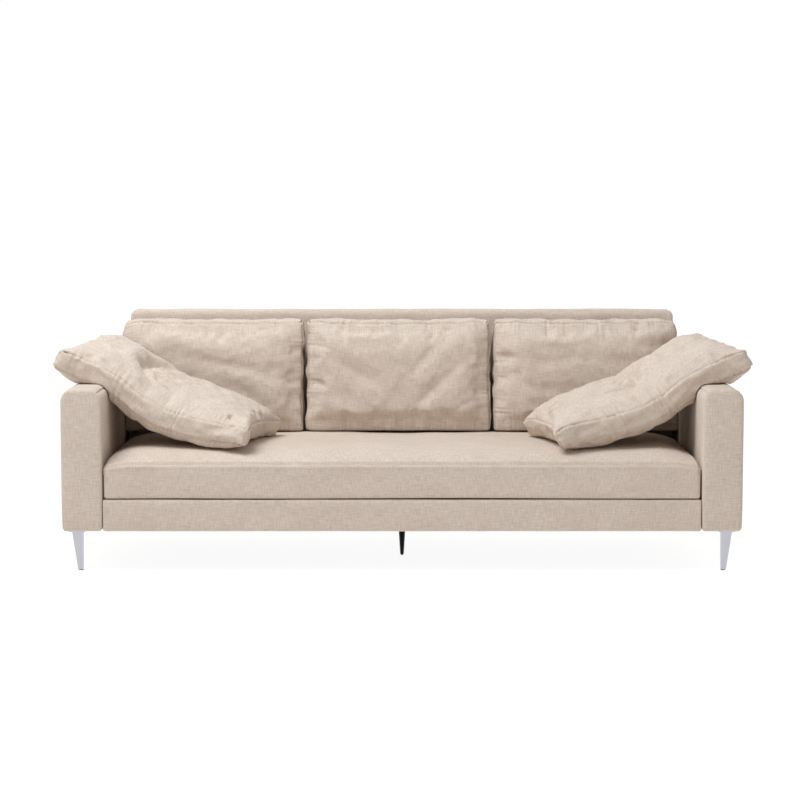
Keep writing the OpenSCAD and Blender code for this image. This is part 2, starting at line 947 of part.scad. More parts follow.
module back_cushion_filling_middle() {
    back_cushion_filling(0);
}

module back_cushion_zip_middle() {
    back_cushion_zip(0);
}

module back_cushion_cover_right() {
    back_cushion_cover(1);
}

module back_cushion_filling_right() {
    back_cushion_filling(1);
}

module back_cushion_zip_right() {
    back_cushion_zip(1);
}

// ---- Arm pillows ----

pillow_zip_l = pillow_len - 2 * zip_end;

// The left pillow's own axes: +X up the slope to its outer end, -Y to the rear, +Z out of its top
module at_pillow() {
    translate([pillow_x, pillow_y, pillow_z]) rotate([0, 0, 180 - pillow_turn]) rotate([0, -pillow_tilt, 0])
        children();
}

module pillow_body(inset) {
    at_pillow() soft_block([0, -pillow_w, 0], [pillow_len, 0, pillow_t], pillow_r, inset);
}

module at_pillow_zip() {
    at_pillow() translate([pillow_len / 2, -pillow_w, pillow_t / 2]) rotate([-90, 0, 0]) children();
}

module arm_pillow_cover_left() {
    color(linen) difference() {
        pillow_body(0);
        pillow_body(cover_t);
        at_pillow_zip() zip_slot(pillow_zip_l);
    }
}

module arm_pillow_filling_left() {
    color(fibre) pillow_body(pad_inset);
}

module arm_pillow_zip_left() {
    color(lining) at_pillow_zip() zip(pillow_zip_l);
}

module arm_pillow_cover_right() {
    on_right() arm_pillow_cover_left();
}

module arm_pillow_filling_right() {
    on_right() arm_pillow_filling_left();
}

module arm_pillow_zip_right() {
    on_right() arm_pillow_zip_left();
}

front_rail();
rear_rail();
side_rail_left();
side_rail_right();
centre_rail();
corner_blocks();
seat_springs();
spring_clips();
deck_cloth();
front_rail_padding();
front_rail_cover();
dust_cover();
arm_front_post_left();
arm_rear_post_left();
arm_top_rail_left();
arm_bottom_rail_left();
arm_panels_left();
arm_padding_left();
arm_cover_left();
arm_front_post_right();
arm_rear_post_right();
arm_top_rail_right();
arm_bottom_rail_right();
arm_panels_right();
arm_padding_right();
arm_cover_right();
back_posts();
back_top_rail();
back_bottom_rail();
back_webbing();
back_padding();
back_cover();
arm_bolts();
arm_inserts();
leg_screws();
leg_front_left();
leg_front_right();
leg_rear_left();
leg_rear_right();
leg_centre();
leg_glides();
seat_cushion_cover();
seat_cushion_wrap();
seat_cushion_foam();
seat_cushion_zip();
back_cushion_cover_left();
back_cushion_filling_left();
back_cushion_zip_left();
back_cushion_cover_middle();
back_cushion_filling_middle();
back_cushion_zip_middle();
back_cushion_cover_right();
back_cushion_filling_right();
back_cushion_zip_right();
arm_pillow_cover_left();
arm_pillow_filling_left();
arm_pillow_zip_left();
arm_pillow_cover_right();
arm_pillow_filling_right();
arm_pillow_zip_right();
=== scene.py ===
"""Looks of the sofa: linen upholstery, loose cushions, arm pillows and metal legs."""
import json
import math

import bpy
import numpy as np
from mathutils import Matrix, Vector


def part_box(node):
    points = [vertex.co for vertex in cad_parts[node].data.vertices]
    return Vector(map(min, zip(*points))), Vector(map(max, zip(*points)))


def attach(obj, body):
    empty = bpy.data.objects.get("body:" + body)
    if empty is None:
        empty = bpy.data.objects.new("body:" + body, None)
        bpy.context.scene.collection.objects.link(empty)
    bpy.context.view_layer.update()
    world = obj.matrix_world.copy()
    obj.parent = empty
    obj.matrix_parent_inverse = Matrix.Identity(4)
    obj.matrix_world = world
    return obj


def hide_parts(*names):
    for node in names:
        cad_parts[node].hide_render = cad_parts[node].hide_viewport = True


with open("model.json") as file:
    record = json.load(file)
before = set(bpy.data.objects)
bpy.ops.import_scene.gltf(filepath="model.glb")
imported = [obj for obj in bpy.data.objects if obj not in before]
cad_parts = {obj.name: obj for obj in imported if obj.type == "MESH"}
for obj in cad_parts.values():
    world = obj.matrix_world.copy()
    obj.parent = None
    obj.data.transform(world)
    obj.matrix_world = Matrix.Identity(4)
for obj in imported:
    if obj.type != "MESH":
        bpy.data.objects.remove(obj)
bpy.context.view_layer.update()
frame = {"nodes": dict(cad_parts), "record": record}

NODES = frame["nodes"]


# ---- Materials ----

class Shader:
    """A Principled material whose nodes are added one by one. Sources are sockets that nodes give out."""

    def __init__(self, name, color, rough=0.9, metal=0.0, **sockets):
        self.mat = bpy.data.materials.new(name)
        self.mat.use_nodes = True
        self.nodes, self.links = self.mat.node_tree.nodes, self.mat.node_tree.links
        self.bsdf = self.nodes["Principled BSDF"]
        self.set("Base Color", (*color, 1))
        self.set("Roughness", rough)
        self.set("Metallic", metal)
        for key, value in sockets.items():
            self.set(key.replace("_", " "), value)

    def set(self, socket, value):
        self.bsdf.inputs[socket].default_value = value

    def feed(self, socket, source):
        self.links.new(source, self.bsdf.inputs[socket])

    def add(self, kind, **values):
        node = self.nodes.new(kind)
        for key, value in values.items():
            if key in node.inputs:
                node.inputs[key].default_value = value
            else:
                setattr(node, key, value)
        return node

    def cloth_place(self):
        """Metres along the warp and the weft."""
        return self.add("ShaderNodeUVMap", uv_map=CLOTH_LAYER).outputs["UV"]

    def object_place(self):
        return self.add("ShaderNodeTexCoord").outputs["Object"]

    def noise(self, place, scale, detail, rough):
        """Noise with its own scale on each axis, in periods a metre."""
        mapping = self.add("ShaderNodeMapping", vector_type="POINT", Scale=scale)
        self.links.new(place, mapping.inputs["Vector"])
        noise = self.add("ShaderNodeTexNoise", Scale=1.0, Detail=detail, Roughness=rough)
        self.links.new(mapping.outputs["Vector"], noise.inputs["Vector"])
        return noise.outputs["Fac"]

    def ramp(self, source, *stops):
        """A colour for each of two places along a value, mixed between them."""
        ramp = self.add("ShaderNodeValToRGB")
        for element, (place, color) in zip(ramp.color_ramp.elements, stops):
            element.position = place
            element.color = (*color, 1)
        self.links.new(source, ramp.inputs["Fac"])
        return ramp.outputs["Color"]

    def multiply_colors(self, a, b):
        node = self.add("ShaderNodeMix", data_type="RGBA", blend_type="MULTIPLY")
        node.inputs["Factor"].default_value = 1.0
        self.links.new(a, node.inputs[6])
        self.links.new(b, node.inputs[7])
        return node.outputs[2]

    def math(self, operation, a, b):
        node = self.add("ShaderNodeMath", operation=operation)
        for socket, value in ((node.inputs[0], a), (node.inputs[1], b)):
            if isinstance(value, (int, float)):
                socket.default_value = value
            else:
                self.links.new(value, socket)
        return node.outputs[0]

    def bump(self, height, distance, strength):
        bump = self.add("ShaderNodeBump", Distance=distance, Strength=strength)
        self.links.new(height, bump.inputs["Height"])
        self.feed("Normal", bump.outputs["Normal"])


CLOTH_LAYER = "cloth"


def linen_material():
    """Oatmeal linen: a plain weave of slubby threads, warp up and down, weft across."""
    s = Shader("linen", (0.6, 0.5, 0.4), 0.92, Sheen_Weight=0.12, Sheen_Roughness=0.6,
               Specular_IOR_Level=0.2)
    place = s.cloth_place()
    warp, weft = s.noise(place, (300, 26, 1), 3, 0.62), s.noise(place, (22, 330, 1), 3, 0.62)
    slub_warp, slub_weft = s.noise(place, (520, 34, 1), 1, 0.5), s.noise(place, (30, 560, 1), 1, 0.5)
    threads = s.math("MULTIPLY", s.math("ADD", warp, weft), 0.30)
    slubs = s.math("MULTIPLY", s.math("ADD", slub_warp, slub_weft), 0.20)
    weave = s.math("ADD", threads, slubs)
    tone = s.ramp(weave, (0.37, (0.515, 0.410, 0.326)), (0.64, (0.782, 0.672, 0.578)))
    wear = s.ramp(s.noise(place, (5, 5, 1), 3, 0.6), (0.30, (0.93, 0.92, 0.91)), (0.70, (1.0, 1.0, 1.0)))
    s.feed("Base Color", s.multiply_colors(tone, wear))
    s.bump(weave, 0.0022, 0.55)
    return s.mat


def timber_material():
    """Sawn softwood with its grain along X."""
    s = Shader("timber", (0.6, 0.42, 0.25), 0.62)
    place = s.object_place()
    grain = s.noise(place, (9, 60, 60), 6, 0.6)
    rings = s.noise(place, (2, 14, 14), 3, 0.5)
    tone = s.ramp(grain, (0.25, (0.42, 0.27, 0.14)), (0.75, (0.72, 0.53, 0.32)))
    shade = s.ramp(rings, (0.3, (0.86, 0.84, 0.80)), (0.7, (1, 1, 1)))
    s.feed("Base Color", s.multiply_colors(tone, shade))
    s.bump(grain, 0.001, 0.4)
    return s.mat


def speckled_material(name, low, high, scale, rough, bump, **sockets):
    """A matte material with an even speckle: board, foam, fibre, cloth or plastic."""
    s = Shader(name, low, rough, **sockets)
    speckle = s.noise(s.object_place(), scale, 4, 0.65)
    s.feed("Base Color", s.ramp(speckle, (0.3, low), (0.7, high)))
    s.bump(speckle, bump, 0.6)
    return s.mat


def metal_material(name, color, rough, metal):
    """Satin metal or paint, faintly brushed along its length, with a slightly uneven sheen."""
    s = Shader(name, color, rough, metal)
    place = s.object_place()
    brushed = s.noise(place, (900, 900, 40), 3, 0.5)
    blotch = s.noise(place, (18, 18, 9), 3, 0.5)
    spread = s.add("ShaderNodeMapRange")
    spread.inputs["To Min"].default_value = rough - 0.07
    spread.inputs["To Max"].default_value = rough + 0.09
    s.links.new(blotch, spread.inputs["Value"])
    s.feed("Roughness", spread.outputs["Result"])
    s.bump(brushed, 0.00012, 0.5)
    return s.mat


LINEN = linen_material()
MATERIALS = {
    "linen": LINEN,
    "timber": timber_material(),
    "fibreboard": speckled_material("fibreboard", (0.22, 0.13, 0.07), (0.34, 0.22, 0.13),
                                    (260, 260, 260), 0.75, 0.0004),
    "foam": speckled_material("foam", (0.78, 0.68, 0.42), (0.88, 0.80, 0.56),
                              (500, 500, 500), 0.95, 0.0008),
    "fibre": speckled_material("fibre", (0.80, 0.80, 0.78), (0.92, 0.92, 0.91),
                               (90, 90, 90), 0.95, 0.002),
    "lining": speckled_material("lining", (0.018, 0.018, 0.020), (0.040, 0.040, 0.042),
                                (700, 700, 700), 0.9, 0.0004, Sheen_Weight=0.2),
    "webbing": speckled_material("webbing", (0.02, 0.02, 0.02), (0.07, 0.07, 0.07),
                                 (40, 900, 900), 0.85, 0.0005),
    "steel": metal_material("steel", (0.55, 0.55, 0.57), 0.38, 1.0),
    "leg_metal": metal_material("leg_metal", (0.56, 0.56, 0.61), 0.30, 1.0),
    # The centre leg is coloured near-black and not metallic, a painted dark reflection standing in for
    # the dark underside its polished metal mirrors
    "black_metal": metal_material("black_metal", (0.014, 0.014, 0.016), 0.28, 0.0),
    "nylon": speckled_material("nylon", (0.02, 0.02, 0.02), (0.03, 0.03, 0.03),
                               (300, 300, 300), 0.5, 0.0002),
    "zip": speckled_material("zip", (0.45, 0.37, 0.30), (0.56, 0.47, 0.39),
                             (600, 60, 600), 0.7, 0.0005),
}
for part in frame["record"]["subparts"]:
    data = NODES[part["node"]].data
    data.materials.clear()
    data.materials.append(MATERIALS[part["material_slot"]])


# ---- Shapes as arrays of points ----

# A point this near a face of its box is on it
ON_FACE = 1e-6


def steps(low, high, pitch):
    return np.linspace(low, high, max(2, int(round((high - low) / pitch)) + 1))


def box_grid(half, pitch):
    """Points, faces and cloth coordinates of a closed grid over a box centred on the origin."""
    axes = [steps(-h, h, pitch) for h in half]
    size = [len(a) for a in axes]
    index = np.indices(size).reshape(3, -1).T
    skin = np.any((index == 0) | (index == np.array(size) - 1), axis=1)
    ids = -np.ones(size, int)
    ids.reshape(-1)[skin] = np.arange(skin.sum())
    index = index[skin]
    points = np.stack([axes[k][index[:, k]] for k in range(3)], 1)
    faces, uvs = [], []
    for axis in range(3):
        u, v = [k for k in range(3) if k != axis]
        for end in (0, size[axis] - 1):
            plane = np.take(ids, end, axis)
            corners = [plane[:-1, :-1], plane[1:, :-1], plane[1:, 1:], plane[:-1, 1:]]
            quad = np.stack(corners, -1).reshape(-1, 4)
            if (end == 0) != (axis == 1):
                quad = quad[:, ::-1]
            faces.append(quad)
            # Each side is cut from its own place on the cloth
            shift = 1.7 * axis + 0.9 * (end > 0)
            uvs.append(points[quad][:, :, [u, v]] + shift)
    return points, np.concatenate(faces), np.concatenate(uvs)


def edge_facts(points, half):
    """For each point of a box grid: how far the nearest edge is, how far along that edge the point is,
    and how far it is inside the box on each axis."""
    gap = np.array(half) - np.abs(points)
    order = np.argsort(gap, axis=1)
    rows = np.arange(len(points))
    return gap[rows, order[:, 1]], points[rows, order[:, 2]], gap


def round_all(points, half, r):
    """Every edge of a box rounded to radius r."""
    core = np.clip(points, -(np.array(half) - r), np.array(half) - r)
    d = points - core
    length = np.linalg.norm(d, axis=1)
    reach = np.abs(d).max(axis=1)
    return core + d * np.where(length > 0, reach / np.maximum(length, 1e-9), 1)[:, None]


def round_pair(points, i, j, half, r):
    """The edges that run across axes i and j rounded to radius r, an array with one for each point."""
    out = points.copy()
    ci = np.clip(points[:, i], -(half[i] - r), half[i] - r)
    cj = np.clip(points[:, j], -(half[j] - r), half[j] - r)
    di, dj = points[:, i] - ci, points[:, j] - cj
    length = np.hypot(di, dj)
    reach = np.maximum(np.abs(di), np.abs(dj))
    factor = np.where(length > 0, reach / np.maximum(length, 1e-9), 1)
    out[:, i], out[:, j] = ci + di * factor, cj + dj * factor
    return out


def smooth(x, low, high):
    """From 0 at low to 1 at high, with no corner."""
    t = np.clip((x - low) / (high - low), 0, 1)
    return t * t * (3 - 2 * t)


def dome(gap, reach, power=2.3):
    """From 0 at an edge to 1 at a distance of reach from it."""
    return 1 - (1 - np.clip(gap / reach, 0, 1)) ** power


def bell(x, width):
    """1 where x is 0, falling away on both sides over about width."""
    return np.exp(-(x / width) ** 2)


def waves(points, seed, length, amplitude, stretch=(1, 1, 1)):
    """Smooth unevenness with bumps about length metres long."""
    count = 14
    r = np.random.default_rng(seed)
    total = np.zeros(len(points))
    for _ in range(count):
        way = r.normal(size=3)
        way *= np.array(stretch) / np.linalg.norm(way)
        period = length * r.uniform(0.7, 1.5)
        total += np.sin(points @ way * 2 * math.pi / period + r.uniform(0, 6.3))
    return amplitude * total / math.sqrt(count / 2)


def stroke(u, v, path, width, height):
    """A fold along a path on a panel: a ridge, or a valley where height is negative."""
    fade = 0.35
    path = np.array(path, float)
    lengths = np.linalg.norm(np.diff(path, axis=0), axis=1)
    total = lengths.sum()
    best = np.full(len(u), 1e9)
    place = np.zeros(len(u))
    start = 0.0
    for (a, b), piece in zip(zip(path[:-1], path[1:]), lengths):
        way = (b - a) / piece
        t = np.clip((u - a[0]) * way[0] + (v - a[1]) * way[1], 0, piece)
        far = np.hypot(u - a[0] - t * way[0], v - a[1] - t * way[1])
        closer = far < best
        best = np.where(closer, far, best)
        place = np.where(closer, start + t, place)
        start += piece
    ends = smooth(place, 0, fade * total) * smooth(total - place, 0, fade * total)
    return height * bell(best, width) * (0.25 + 0.75 * ends)


def fan(centre, start, end, angles, width, height):
    """Short folds that spread out from a point, at the given angles in degrees."""
    centre = np.array(centre)
    folds = []
    for k, angle in enumerate(angles):
        way = np.array([math.cos(math.radians(angle)), math.sin(math.radians(angle))])
        reach = end * (0.8 + 0.2 * math.cos(2.1 * k))
        folds.append(([tuple(centre + start * way), tuple(centre + reach * way)], width, height))
    return folds


def puckers(along, gap, seed, pitch, depth, reach):
    """Short gathers that run in from a seam."""
    r = np.random.default_rng(seed)
    turn = along * 2 * math.pi
    warp = sum(r.uniform(0.2, 0.5) * pitch * np.sin(turn / (pitch * k) + r.uniform(0, 6.3))
               for k in (2.7, 4.3, 7.1))
    wave = 0.5 + 0.5 * np.cos((along + warp) * 2 * math.pi / pitch)
    strength = 0.55 + 0.45 * np.sin(turn / (pitch * 9.0) + r.uniform(0, 6.3))
    local = reach * (0.6 + 0.4 * np.cos(turn / (pitch * 3.3) + 1.0))
    return -depth * wave * strength * np.exp(-gap / local)


def vertex_normals(points, faces):
    a, b, c, d = (points[faces[:, k]] for k in range(4))
    n = np.cross(c - a, d - b)
    out = np.zeros_like(points)
    for k in range(4):
        np.add.at(out, faces[:, k], n)
    return out / np.maximum(np.linalg.norm(out, axis=1), 1e-12)[:, None]


def fit(shape, half):
    """Centres a shape and scales it on each axis to fill the given half sizes."""
    low, high = shape.min(0), shape.max(0)
    return (shape - (low + high) / 2) * (2 * np.array(half) / (high - low))


# ---- Meshes ----

def linen_object(name, points, faces, uvs):
    mesh = bpy.data.meshes.new(name)
    mesh.from_pydata(points.tolist(), [], faces.tolist())
    layer = mesh.uv_layers.new(name=CLOTH_LAYER)
    layer.data.foreach_set("uv", np.asarray(uvs, np.float32).reshape(-1))
    mesh.shade_smooth()
    mesh.materials.append(LINEN)
    obj = bpy.data.objects.new(name, mesh)
    bpy.context.scene.collection.objects.link(obj)
    return obj


def read_vectors(items, field):
    out = np.zeros(len(items) * 3, np.float32)
    items.foreach_get(field, out)
    return out.reshape(-1, 3)


def get_points(obj):
    return read_vectors(obj.data.vertices, "co").astype(float)


def set_points(obj, points):
    obj.data.vertices.foreach_set("co", points.astype(np.float32).reshape(-1))
    obj.data.update()


def inflate(obj, seam, seed, limit, slack):
    """Cloth blown up from inside: seams draw in, and panels have cloth to spare and wrinkle."""
    frames = 20
    start = get_points(obj)
    group = obj.vertex_groups.new(name="shrink")
    patches = 0.5 + 0.5 * np.tanh(2 * waves(start, seed, 0.16, 1.0))
    weight = np.clip(np.where(seam < 0.006, 1.0, 0.6 * (1 - patches)), 0, 1)
    tenths = np.round(weight * 10).astype(int)
    for level in range(11):
        chosen = np.nonzero(tenths == level)[0]
        if len(chosen):
            group.add(chosen.tolist(), level / 10, "REPLACE")
    modifier = obj.modifiers.new("Cloth", "CLOTH")
    cloth = modifier.settings
    cloth.quality = 5
    cloth.mass = 0.25
    cloth.tension_stiffness = cloth.compression_stiffness = 14
    cloth.shear_stiffness = 5
    cloth.bending_stiffness = 0.35
    cloth.tension_damping = cloth.compression_damping = cloth.shear_damping = 8
    cloth.use_pressure = True
    cloth.uniform_pressure_force = 2.2
    cloth.vertex_group_shrink = "shrink"
    cloth.shrink_min, cloth.shrink_max = slack
    cloth.effector_weights.gravity = 0
    modifier.collision_settings.use_collision = False
    modifier.point_cache.frame_start, modifier.point_cache.frame_end = 1, frames
    for f in range(1, frames + 1):
        bpy.context.scene.frame_set(f)
    mesh = obj.evaluated_get(bpy.context.evaluated_depsgraph_get()).data
    moved = read_vectors(mesh.vertices, "co")
    obj.modifiers.remove(modifier)
    bpy.context.scene.frame_set(1)
    step = moved - start
    far = np.linalg.norm(step, axis=1)
    step *= np.minimum(1, limit / np.maximum(far, 1e-9))[:, None]
    set_points(obj, start + step)


def subdivide(obj):
    """One level of Catmull-Clark, applied."""
    modifier = obj.modifiers.new("Subdivide", "SUBSURF")
    modifier.levels = modifier.render_levels = 1
    modifier.boundary_smooth = "PRESERVE_CORNERS"
    mesh = bpy.data.meshes.new_from_object(obj.evaluated_get(bpy.context.evaluated_depsgraph_get()))
    obj.modifiers.remove(modifier)
    obj.data = mesh


def soft_mesh(name, points, shape, faces, uvs, half, seam, seed, limit, slack):
    """A cushion's cloth, blown up, fitted to its size and subdivided once.
    Gives the object, its points, its faces and each point's place on the flat box."""
    obj = linen_object(name, shape, faces, uvs)
    inflate(obj, seam, seed, limit, slack)
    set_points(obj, fit(get_points(obj), half))
    facts = obj.data.attributes.new("rest", "FLOAT_VECTOR", "POINT")
    facts.data.foreach_set("vector", points.astype(np.float32).reshape(-1))
    subdivide(obj)
    shape = fit(get_points(obj), half)
    facts = obj.data.attributes["rest"]
    flat = read_vectors(facts.data, "vector").astype(float)
    obj.data.attributes.remove(facts)
    faces = np.zeros(len(obj.data.polygons) * 4, np.int32)
    obj.data.polygons.foreach_get("vertices", faces)
    return obj, shape, faces.reshape(-1, 4), flat


# ---- Sizes taken from the frame ----

def box(node):
    low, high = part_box(node)
    return np.array(low), np.array(high)


SEAT_TOP = box("seat_cushion_cover")[1][2]
ARM_LOW, ARM_HIGH = box("arm_cover_left")
ARM_OUT_X, ARM_IN_X = -ARM_LOW[0], -ARM_HIGH[0]
ARM_TOP = ARM_HIGH[2]
ARM_TOP_R, ARM_FOOT_R = 0.040, 0.012
BACK_TOP_T = 0.088
# How far round the corner from the front or rear panel its seam runs
ARM_SEAM_IN, BACK_SEAM_IN = 0.013, 0.012
RAKE = math.tan(math.radians(7))


def half_and_middle(node):
    """Half of the size of a node's box, and its middle."""
    low, high = box(node)
    return (high - low) / 2, (high + low) / 2


# ---- Fixed upholstery ----

def arm(side, seed):
    """A boxed arm with softly rounded upper edges and a slightly full front."""
    half, middle = half_and_middle("arm_cover_" + side)
    points, faces, uvs = box_grid(half, 0.0065)
    edge, _, gap = edge_facts(points, half)
    shape = round_all(points, half, 0.009)
    shape = round_pair(shape, 0, 2, half, np.where(points[:, 2] > 0, ARM_TOP_R, ARM_FOOT_R))
    normals = vertex_normals(shape, faces)
    front = (gap[:, 1] < ON_FACE) & (points[:, 1] < 0)
    full = dome(gap[:, 0], 0.06) * dome(gap[:, 2], 0.07)
    shape[:, 1] -= np.where(front, 0.004 * full, 0)
    # The large panels draw in towards their upper and lower seams
    draw = np.where(gap[:, 0] < ON_FACE, 1 - dome(gap[:, 2], 0.1), 0)
    shape[:, 0] -= np.sign(points[:, 0]) * 0.0022 * draw
    shape += normals * (waves(shape, seed, 0.16, 0.0006) * smooth(edge, 0.0, 0.03))[:, None]
    # Seam round the front panel
    seam = points[:, 1] + half[1] - ARM_SEAM_IN
    shape -= normals * (0.0016 * bell(seam, 0.0035) * (gap[:, 1] > ON_FACE))[:, None]
    obj = linen_object("arm_" + side, shape + middle, faces, uvs)
    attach(obj, "sofa_frame")
    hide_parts("arm_cover_" + side, "arm_padding_" + side)


def back():
    """The fixed back: a wedge, thinner at its top, with rounded upper edges and corners."""
    half, middle = half_and_middle("back_cover")
    points, faces, uvs = box_grid(half, 0.009)
    edge, _, gap = edge_facts(points, half)
    upper = points[:, 2] > 0
    shape = round_pair(points, 0, 2, half, np.where(upper, 0.024, 0.006))
    rolled = round_pair(points, 1, 2, half, np.where(upper, 0.026, 0.006))
    # Its rear is upright and its front leans
    top_share = BACK_TOP_T / (2 * half[1])
    thick = top_share + (1 - top_share) * (half[2] - shape[:, 2]) / (2 * half[2])
    shape[:, 1] = half[1] - (half[1] - rolled[:, 1]) * thick
    shape[:, 2] = np.minimum(shape[:, 2], np.where(gap[:, 2] < 0.03, rolled[:, 2], shape[:, 2]))
    normals = vertex_normals(shape, faces)
    shape += normals * ((waves(shape, 40, 0.22, 0.0008) - 0.0010) * smooth(edge, 0, 0.03))[:, None]
    # Seam round the rear panel
    seam = half[1] - points[:, 1] - BACK_SEAM_IN
    shape -= normals * (0.0014 * bell(seam, 0.004) * (gap[:, 1] > ON_FACE))[:, None]
    obj = linen_object("back_upholstery", shape + middle, faces, uvs)
    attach(obj, "sofa_frame")
    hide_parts("back_cover", "back_padding")


def front_rail():
    """The rail under the seat cushion, slightly full along its front."""
    half, middle = half_and_middle("front_rail_cover")
    points, faces, uvs = box_grid(half, 0.006)
    edge, _, gap = edge_facts(points, half)
    shape = round_all(points, half, 0.006)
    normals = vertex_normals(shape, faces)
    front = (gap[:, 1] < ON_FACE) & (points[:, 1] < 0)
    shape[:, 1] -= np.where(front, 0.0025 * dome(gap[:, 2], 0.045), 0)
    shape += normals * (waves(shape, 50, 0.3, 0.0007) * smooth(edge, 0, 0.02))[:, None]
    obj = linen_object("front_rail_upholstery", shape + middle, faces, uvs)
    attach(obj, "sofa_frame")
    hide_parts("front_rail_cover", "front_rail_padding")


# ---- Seat cushion ----

def recess(world, zone, axis, sign, plane):
    """The cloth meets a zip: level with the zip's wall beside it, and just under the tape behind it."""
    margin, depth = 0.012, 0.0018
    low, high = zone
    away = np.zeros(len(world))
    for k in range(3):
        if k != axis:
            away = np.maximum(away, np.maximum(low[k] - world[:, k], world[:, k] - high[k]))
    near = np.abs(world[:, axis] - plane) < 0.03
    level = plane - sign * np.where(away <= 0, depth, 0.0)
    weight = (1 - smooth(away, margin * 0.4, margin * 3)) * near
    world[:, axis] = world[:, axis] * (1 - weight) + level * weight
    return world


def seat():
    """One long boxed cushion with a crowned top panel."""
    half, middle = half_and_middle("seat_cushion_cover")
    points, faces, uvs = box_grid(half, 0.0075)
    edge, along, gap = edge_facts(points, half)
    x, y, z = points.T
    from_end, from_front, from_rear = half[0] - np.abs(x), half[1] + y, half[1] - y
    shape = round_all(points, half, 0.010)
    # The top panel's edge is a seam below its crown
    seam_drop, crown_rise = 0.036, 0.035
    level = (z + half[2]) / (2 * half[2])
    shape[:, 2] -= seam_drop * level
    rise = crown_rise + waves(points, 61, 0.5, 0.0015)
    crown = rise * dome(from_end, 0.17, 2.6) * dome(from_front, 0.20, 2.6) * dome(from_rear, 0.15, 2.6)
    flat = gap[:, 2] < ON_FACE
    shape[:, 2] += np.where(flat & (z > 0), crown, 0)
    front = (gap[:, 1] < ON_FACE) & (y < 0)
    shape[:, 1] -= np.where(front, 0.003 * dome(gap[:, 2], 0.07) * dome(gap[:, 0], 0.06) - 0.002, 0)
    shape[:, 0] -= np.where(gap[:, 0] < ON_FACE, 0.002 * np.sign(x), 0)
    # The lower edge at the front sags a little between the rail's ends
    low = np.where(z < 0, 1, 0) * smooth(gap[:, 2], 0.05, 0)
    shape[:, 2] += low * 0.0022 * (0.5 + 0.5 * np.sin(x * 5.1 + 0.7)) * smooth(from_end, 0, 0.3)
    normals = vertex_normals(shape, faces)
    shape += normals * (waves(points, 62, 0.20, 0.0009) * smooth(edge, 0.004, 0.05))[:, None]
    # Stitched seam round the top panel, with its lip
    near_top = z > half[2] - 0.04
    seam = np.abs(np.where(flat, -edge, edge) - 0.001)
    shape -= normals * (0.0050 * bell(seam, 0.0055) * near_top)[:, None]
    shape += normals * (0.0022 * bell(edge - 0.015, 0.006) * near_top)[:, None]
    gathers = puckers(along, edge, 63, pitch=0.016, depth=0.0007, reach=0.02)
    shape += normals * (gathers * near_top)[:, None]
    # The front corners draw in a little
    shape[:, 2] -= 0.010 * bell(from_end, 0.05) * bell(from_front, 0.05) * level
    rear_y = half[1] + middle[1]
    world = recess(shape + middle, box("seat_cushion_zip"), axis=1, sign=1, plane=rear_y)
    obj = linen_object("seat_cushion", world, faces, uvs)
    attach(obj, "seat_cushion")
    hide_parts("seat_cushion_cover", "seat_cushion_wrap", "seat_cushion_foam")


# ---- Back cushions ----

BACK_CUSHION_T = 0.1955
# How much wider and deeper folds are than listed
FOLD_SPREAD, FOLD_DEPTH, PILLOW_FOLD_DEPTH = 1.1, 0.62, 2.2


